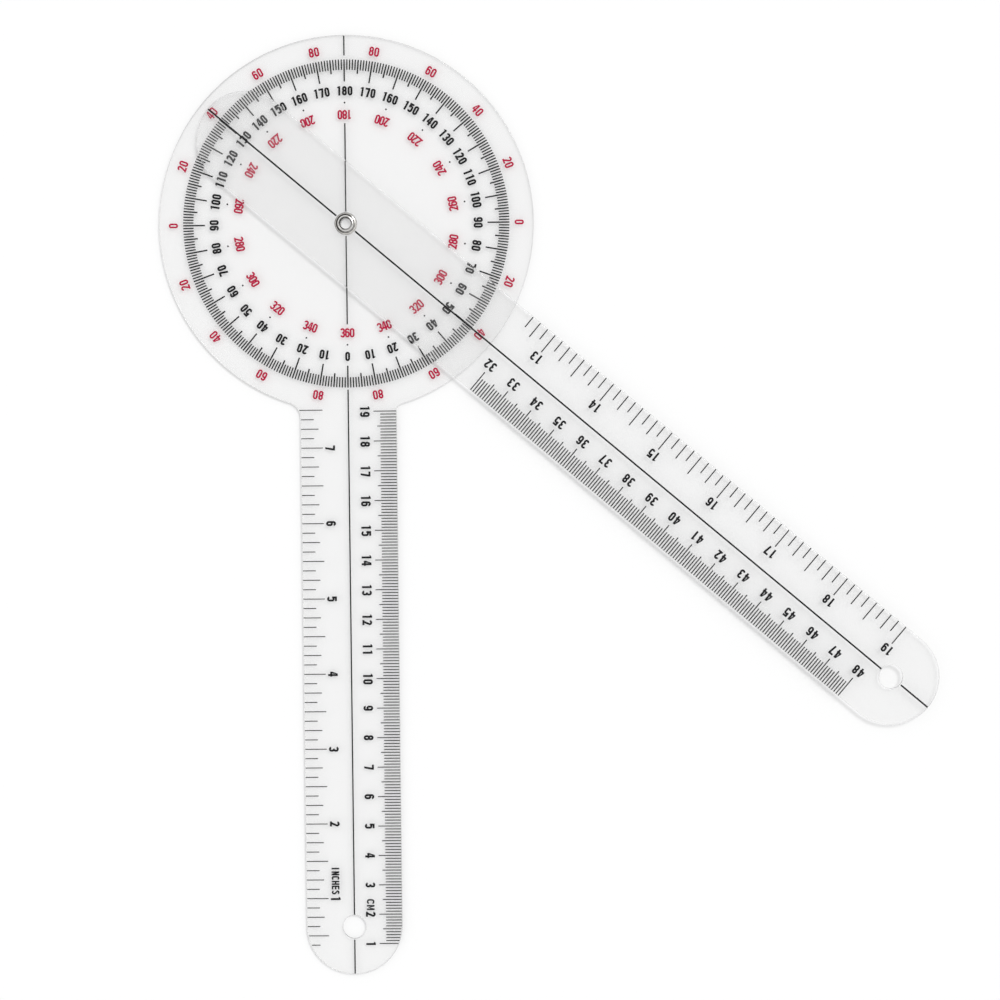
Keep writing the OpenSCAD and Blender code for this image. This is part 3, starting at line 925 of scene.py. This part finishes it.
fixed_line = Line(ruler_case, digits, 2.15, black_ink)
ruler_rows(fixed_line, 1, neck_limit / cm, cm, cm_x, 1)
ruler_rows(fixed_line, 1, neck_limit / inch, inch, -inch_x, 1)
numeral_half, unit_gap = 0.81 * MM, 0.65 * MM


def unit_row(line, text, x, v, width):
    """A unit word that ends just before the numeral at a distance v from zero."""
    half = ((len(text) - 1) * line.pitch + width * MM) / 2
    line.row(text, x, v + numeral_half + unit_gap + half - zero_r, -90)


cm_line = Line(cm_case, "CM", 2, black_ink)
unit_row(cm_line, "CM", cm_x, 2 * cm, 1.65)
inches_line = Line(inches_case, "INCHES", 1.62, black_ink)
unit_row(inches_line, "INCHES", -inch_x, inch, 1.3)
black_lines = (black_line, dot_line, fixed_line, cm_line, inches_line)
print_on("dial_arm_black_figures", [line.printed() for line in black_lines], black_ink,
         dial_high.z, 0, "dial_arm", "black_ink", "black_degree_numerals", "dial_dots",
         "fixed_cm_numerals", "fixed_inch_numerals")

# %% Red figures of the dial
outer_red_r, inner_red_r = disc_r - 4.9 * MM, disc_r - 26.5 * MM
outer_red_line = Line(red_case, digits, 1.82, red_ink)
inner_red_line = Line(red_case, digits, 1.6, red_ink)
for v in range(10, 180, 20):
    for side in (1, -1):
        outer_red_line.on_dial(str(abs(90 - v)), side * v, outer_red_r)
for v in range(0, 181, 20):
    for side in both_sides(v):
        inner_red_line.on_dial(str(360 - v), side * v, inner_red_r, inward=True)
print_on("dial_red_figures", [outer_red_line.printed(), inner_red_line.printed()], red_ink,
         dial_high.z, 0, "dial_arm", "red_ink", "inner_red_numerals", "outer_red_numerals")

# %% Black figures of the moving arm
past_dial, before_hole = 2.7 * MM, 3.1 * MM
arm_start = zero_r + disc_r + past_dial
arm_end = zero_r + reach - hang_r - before_hole
moving_line = Line(ruler_case, digits, 2.15, black_ink)
ruler_rows(moving_line, arm_start / cm, arm_end / cm, cm, -cm_x, -1)
ruler_rows(moving_line, arm_start / inch, arm_end / inch, inch, inch_x, -1)
print_on("moving_arm_figures", [moving_line.printed()], black_ink, arm_high.z, opening,
         "moving_arm", "black_ink", "moving_cm_numerals", "moving_inch_numerals")
for case in cases:
    for obj in list(case.objects):
        bpy.data.objects.remove(obj)
    bpy.data.collections.remove(case)

# %% [markdown]
# ## Graduations by Geometry Nodes
# The dial's ring is one group with the number of marks, the radius and the three
# lengths as its inputs, so that another division is a change of one number. The
# rulers run into the necks and the round tip, so there each mark brings its own length.

# %% The dial's ring of marks
def switch(group, test, off, on):
    """on where test isn't 0, and otherwise off."""
    return add(group, "GeometryNodeSwitch", input_type="FLOAT", switch=test, false=off,
               true=on).outputs[0]


def bar(group):
    """A block of size 1 about its own middle."""
    return add(group, "GeometryNodeMeshCube", size=(1, 1, 1)).outputs["Mesh"]


def build_mark_ring():
    """Marks on a ring: each tenth is long, each fifth is middling, the rest are short."""
    group, source, sink = geometry_group("ring_of_marks", {
        "Count": "Int", "Outer Radius": "Float", "Short": "Float", "Middle": "Float",
        "Long": "Float", "Fine Width": "Float", "Main Width": "Float", "Film": "Float",
        "Ink": "Material"})
    given = source.outputs
    index = group.nodes.new("GeometryNodeInputIndex").outputs[0]
    tenth, fifth = (math_node(group, "LESS_THAN", math_node(group, "MODULO", index, n), 0.5)
                    for n in (10.0, 5.0))
    shorter = switch(group, fifth, given["Short"], given["Middle"])
    length = switch(group, tenth, shorter, given["Long"])
    width = switch(group, fifth, given["Fine Width"], given["Main Width"])
    angle = times(group, index, math_node(group, "DIVIDE", math.tau, given["Count"]))
    middle = math_node(group, "SUBTRACT", given["Outer Radius"], times(group, length, 0.5))
    x = times(group, middle, math_node(group, "SINE", angle))
    y = times(group, middle, times(group, math_node(group, "COSINE", angle), -1.0))
    points = add(group, "GeometryNodePoints", count=given["Count"],
                 position=combine(group, x, y, times(group, given["Film"], 0.5)))
    feed(group, sink, geometry=laid(group, points.outputs[0], bar(group), angle,
                                    combine(group, width, length, given["Film"]), given["Ink"]))
    return group


marks_r = disc_r - 8.2 * MM
ring = run_group(build_mark_ring(), "degree_ring", points_mesh("ring_start", [(0, 0, 0)]),
                 count=360, outer_radius=marks_r, short=3.45 * MM, middle=4.65 * MM,
                 long=7.3 * MM, fine_width=0.42 * MM, main_width=0.48 * MM, film=ink_t,
                 ink=black_ink)
print("ring of marks:", len(ring.data.polygons) // 6)

# %% [markdown]
# ## The rulers' marks
# A ruler's marks stand on its edge, and where the edge runs outwards into the dial or
# inwards round the tip, they reach after it. So each mark's length is worked out here
# and carried by its point, and one group lays a bar of that length on every point.

# %% The rulers' marks
def build_mark_row():
    """A bar on every point, as long as its attribute says, across the ruler."""
    group, source, sink = geometry_group(
        "row_of_marks", {"Mark Width": "Float", "Film": "Float", "Ink": "Material"})
    given = source.outputs
    scale = combine(group, attribute(group, "length"), given["Mark Width"], given["Film"])
    half = combine(group, 0.0, 0.0, times(group, given["Film"], 0.5))
    lift = add(group, "GeometryNodeSetPosition", geometry=given["Geometry"], offset=half)
    feed(group, sink, geometry=laid(group, lift.outputs[0], bar(group),
                                    attribute(group, "turn"), scale, given["Ink"]))
    return group


mark_row = build_mark_row()
tip_bare = 0.25 * MM


def bars(name, places, lengths, turn, width):
    """Bars of ink with these middles and lengths, all turned alike."""
    points = points_mesh(name + "_places", places, length=lengths, turn=[turn] * len(places))
    return run_group(mark_row, name, points, mark_width=width, film=ink_t, ink=black_ink)


def plastic_edge(r, neck_radius):
    """Half the arm's width at a distance r from the pivot, in its neck and tip too."""
    into_neck = min(-neck_centre(1, neck_radius)[1] - r, neck_radius)
    past_hole = min(r - reach, half_w)
    if into_neck > 0:
        return half_w + neck_radius - math.sqrt(neck_radius ** 2 - into_neck ** 2)
    if past_hole > 0:
        return math.sqrt(half_w ** 2 - past_hole ** 2) - tip_bare
    return half_w


def marks_of(name, steps, pitch, lengths, side, reading, inset, neck_radius, width):
    """A row of ruler marks. lengths gives the length of each mark from its number, side is
    the edge it stands on, and reading is 1 towards the pivot and -1 away from it."""
    places, long = [], []
    for v in steps:
        r = reading * (zero_r - v * pitch)
        inner = half_w - inset - lengths(v)
        outer = plastic_edge(r, neck_radius) - inset
        places.append((side * (inner + outer) / 2, -r, 0))
        long.append(outer - inner)
    return bars(name, places, long, 0.0, width)


def mm_length(v):
    """Length of the mark at v millimetres."""
    return (7.6 if v % 10 == 0 else 6.4 if v % 5 == 0 else 5.35) * MM


def inch_length(v):
    """Length of the mark at v eighths of an inch."""
    return (7.25 if v % 4 == 0 else 5.85 if v % 2 == 0 else 4.3) * MM


first_mark, eighth = 9.5 * MM, inch / 8
cm_inset, inch_inset = 0.15 * MM, 0.25 * MM
fixed_cm = marks_of(
    "fixed_cm_row", up_to(first_mark / MM, int(neck_limit / cm) * 10), MM, mm_length,
    side=1, reading=1, inset=cm_inset, neck_radius=neck_cm, width=0.31 * MM)
fixed_inch = marks_of(
    "fixed_inch_row", up_to(first_mark / eighth, neck_limit / eighth), eighth, inch_length,
    side=-1, reading=1, inset=inch_inset, neck_radius=neck_inch, width=0.30 * MM)
moving_start = math.ceil(arm_start / cm) * cm
moving_cm = marks_of(
    "moving_cm_row", up_to(math.ceil(arm_start / cm) * 10, int(arm_end / cm) * 10), MM,
    mm_length, side=-1, reading=-1, inset=cm_inset, neck_radius=0.0, width=0.37 * MM)
moving_inch = marks_of(
    "moving_inch_row", up_to(moving_start / eighth, int(arm_end / inch) * 8), eighth,
    inch_length, side=1, reading=-1, inset=inch_inset, neck_radius=0.0, width=0.38 * MM)
print("ruler marks:", [len(row.data.polygons) // 6
                       for row in (fixed_cm, fixed_inch, moving_cm, moving_inch)])

# %% [markdown]
# ## The index lines
# A fine line runs along the middle of each sheet and shows the reading. It is broken
# at the washer, the hanging hole and the red figures, so each unbroken length is one
# bar of the same group as the rulers' marks, turned by a quarter.

# %% Index lines
def index_bars(name, width, spans):
    """Bars along the middle of an arm, from one distance to another from the pivot."""
    return bars(name, [(0, -(a + b) / 2, 0) for a, b in spans], [b - a for a, b in spans],
                math.pi / 2, width)


bare, washer_bare = 0.35 * MM, 4.05 * MM
red_half, line_break, ring_break = 1.525 * MM, 1.3 * MM, 0.7 * MM
numeral_edge = inner_red_r - red_half - line_break
hang_spans = [(reach + hang_r + bare, tip_r - bare)]
dial_lines = index_bars("dial_lines", 0.45 * MM, [
    (washer_bare, numeral_edge), (-numeral_edge, -washer_bare),
    (bare - disc_r, -marks_r - line_break),
    (marks_r + ring_break, reach - hang_r - bare)] + hang_spans)
arm_lines = index_bars("arm_lines", 0.57 * MM, [
    (bare - tail_r, -washer_bare), (washer_bare, reach - hang_r - bare)] + hang_spans)
print_on("dial_arm_graduations", [ring, fixed_cm, fixed_inch, dial_lines], black_ink,
         dial_high.z, 0, "dial_arm", "black_ink", "degree_marks", "fixed_cm_marks",
         "fixed_inch_marks", "dial_index_line")
print_on("moving_arm_graduations", [moving_cm, moving_inch, arm_lines], black_ink,
         arm_high.z, opening, "moving_arm", "black_ink", "moving_cm_marks",
         "moving_inch_marks", "moving_index_line")

# %% [markdown]
# ## The eyelet and its washer
# One hollow eyelet holds the sheets together. Its flange lies under the dial, its tube
# passes through both sheets, and its upper end is rolled outwards over a dished
# washer. Both parts are round about one axis, so each is a closed outline of radius
# and height that is turned about the pivot. All sizes here are in millimetres.

# %% Turned parts
def turned(name, profile, metal, steps=96):
    """A closed outline of (radius, height) in millimetres, turned about the pivot."""
    bm = bmesh.new()
    rings = []
    for i in range(steps):
        angle = math.tau * i / steps
        rings.append([bm.verts.new((r * MM * math.cos(angle), r * MM * math.sin(angle), z * MM))
                      for r, z in profile])
    for ring, after in zip(rings, rings[1:] + rings[:1]):
        for j in range(len(profile)):
            bm.faces.new((ring[j - 1], ring[j], after[j], after[j - 1]))
    bmesh.ops.recalc_face_normals(bm, faces=bm.faces)
    for face in bm.faces:
        face.smooth = True
    mesh = bpy.data.meshes.new(name)
    bm.to_mesh(mesh)
    bm.free()
    mesh.set_sharp_from_angle(angle=math.radians(38))
    mesh.materials.append(metal)
    return new_object(name, mesh)


bore_r, tube_r, roll_r = 1.75, 2.15, 2.9
flange_r, flange_t, mouth, foot, step = 3.7, 0.4, 0.25, 0.12, 0.04
washer_z, washer_top = washer_low.z / MM, washer_high.z / MM
roll = (roll_r - bore_r) / 2
eyelet_outline = [(bore_r + mouth, -flange_t)]
eyelet_outline += arc((flange_r - flange_t / 2, -flange_t / 2), flange_t / 2, -90, 90, 10)
eyelet_outline += arc((tube_r + foot, foot), foot, -90, -180, 5)
eyelet_outline += [(tube_r, washer_top - step), (tube_r + 0.1, washer_top)]
eyelet_outline += arc((bore_r + roll, washer_top), roll, 0, 180, 24)
eyelet_outline += arc((bore_r + mouth, mouth - flange_t), mouth, 180, 270, 6)[:-1]
eyelet = turned("turned_eyelet", eyelet_outline, eyelet_metal)
finish_piece(eyelet, "dial_arm", "eyelet_metal", "pivot_eyelet")

washer_r, dish, blunt, lip = 3.7, 0.2, 0.05, 0.06
washer_outline = [
    (tube_r + blunt, washer_z), (washer_r - blunt, washer_z), (washer_r, washer_z + blunt),
    (washer_r, washer_top - dish - lip), (washer_r - lip, washer_top - dish),
    (roll_r + 0.08, washer_top), (tube_r + blunt, washer_top)]
washer = turned("dished_washer", washer_outline, washer_metal)
finish_piece(washer, "dial_arm", "washer_metal", "pivot_washer")
